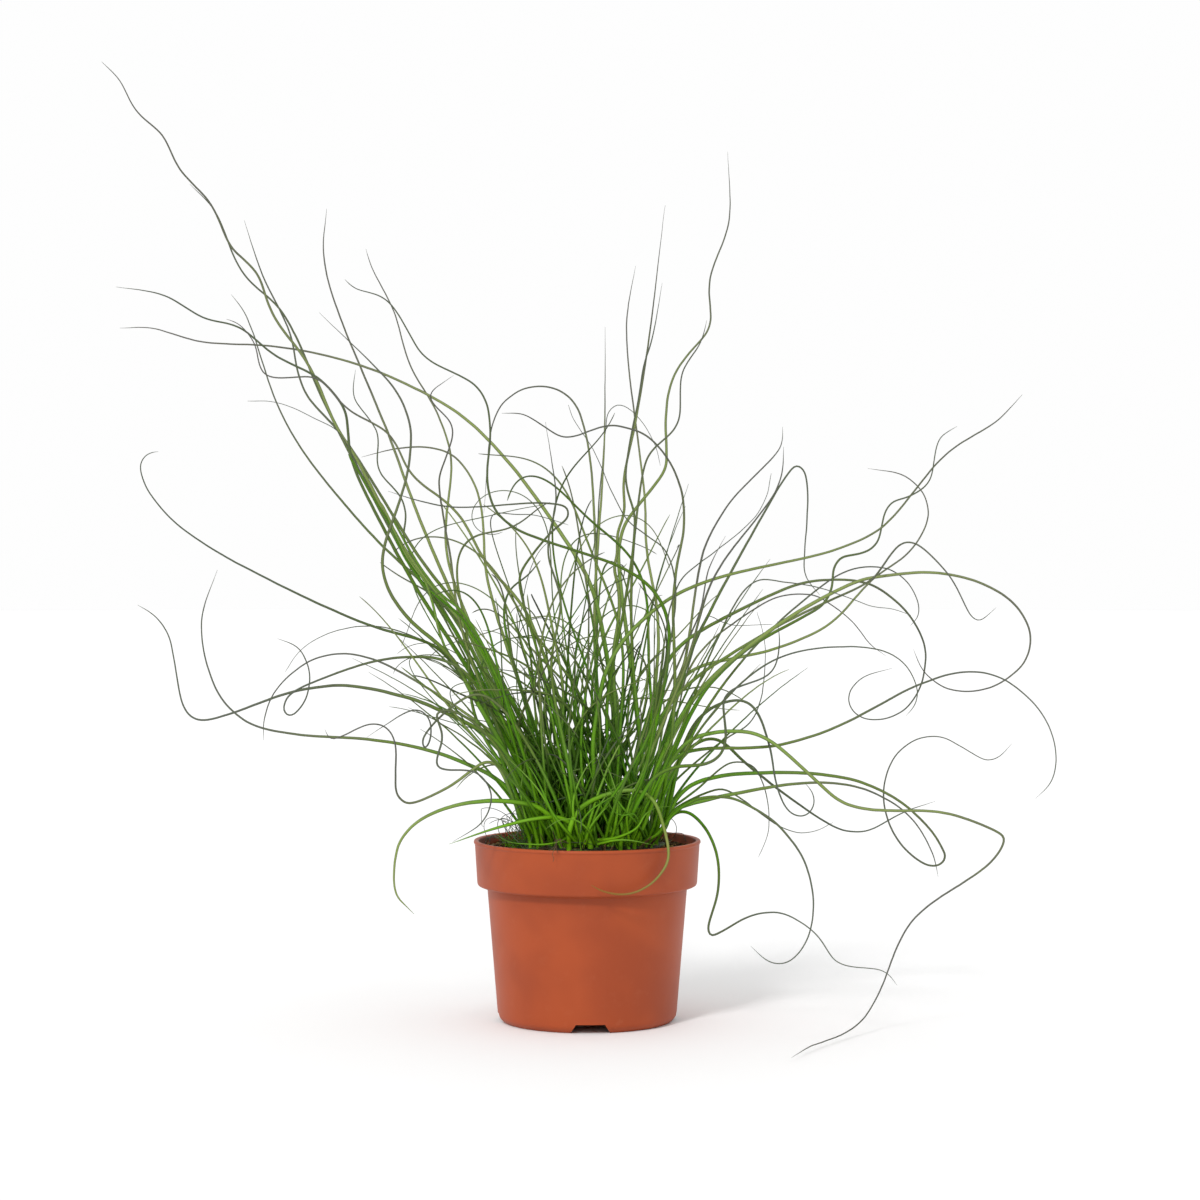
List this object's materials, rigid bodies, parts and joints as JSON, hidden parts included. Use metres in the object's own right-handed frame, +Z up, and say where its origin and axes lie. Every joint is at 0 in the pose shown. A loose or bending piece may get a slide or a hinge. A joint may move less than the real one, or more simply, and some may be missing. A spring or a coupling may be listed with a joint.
{
  "type": "potted corkscrew rush",
  "caption": "Tuft of thin green curling rush stems growing out of a round tapered plastic nursery pot with a collar rim.",
  "frame": {"origin": "centre of the pot's base, on the surface that it stands on", "axes": "+Z up, -Y towards the front, +X to the right seen from the front"},
  "size_m": [0.501, 0.2872, 0.4987],
  "materials": {
    "terracotta_plastic": "matte",
    "potting_soil": "rough",
    "crown_green": "matte",
    "rush_green": "satin"
  },
  "bodies": {
    "root": {"pot": "terracotta_plastic", "soil": "potting_soil", "crown": "crown_green", "stem_01": "rush_green", "stem_02": "rush_green", "stem_03": "rush_green", "stem_04": "rush_green", "stem_05": "rush_green", "stem_06": "rush_green", "stem_07": "rush_green", "stem_08": "rush_green", "stem_09": "rush_green", "stem_10": "rush_green", "stem_11": "rush_green", "stem_12": "rush_green", "stem_13": "rush_green", "stem_14": "rush_green", "stem_15": "rush_green", "stem_16": "rush_green", "stem_17": "rush_green", "stem_18": "rush_green", "stem_19": "rush_green", "stem_20": "rush_green", "stem_21": "rush_green", "stem_22": "rush_green", "stem_23": "rush_green", "stem_24": "rush_green", "stem_25": "rush_green", "stem_26": "rush_green", "stem_27": "rush_green", "stem_28": "rush_green", "stem_29": "rush_green", "stem_30": "rush_green", "stem_31": "rush_green", "stem_32": "rush_green", "stem_33": "rush_green", "stem_34": "rush_green", "stem_35": "rush_green", "stem_36": "rush_green", "stem_37": "rush_green", "stem_38": "rush_green", "stem_39": "rush_green", "stem_40": "rush_green", "stem_41": "rush_green", "stem_42": "rush_green", "stem_43": "rush_green", "stem_44": "rush_green", "stem_45": "rush_green", "stem_46": "rush_green", "stem_47": "rush_green", "stem_48": "rush_green", "stem_49": "rush_green", "stem_50": "rush_green", "stem_51": "rush_green", "stem_52": "rush_green", "stem_53": "rush_green", "stem_54": "rush_green", "stem_55": "rush_green", "stem_56": "rush_green", "stem_57": "rush_green"}
  },
  "joints": []
}
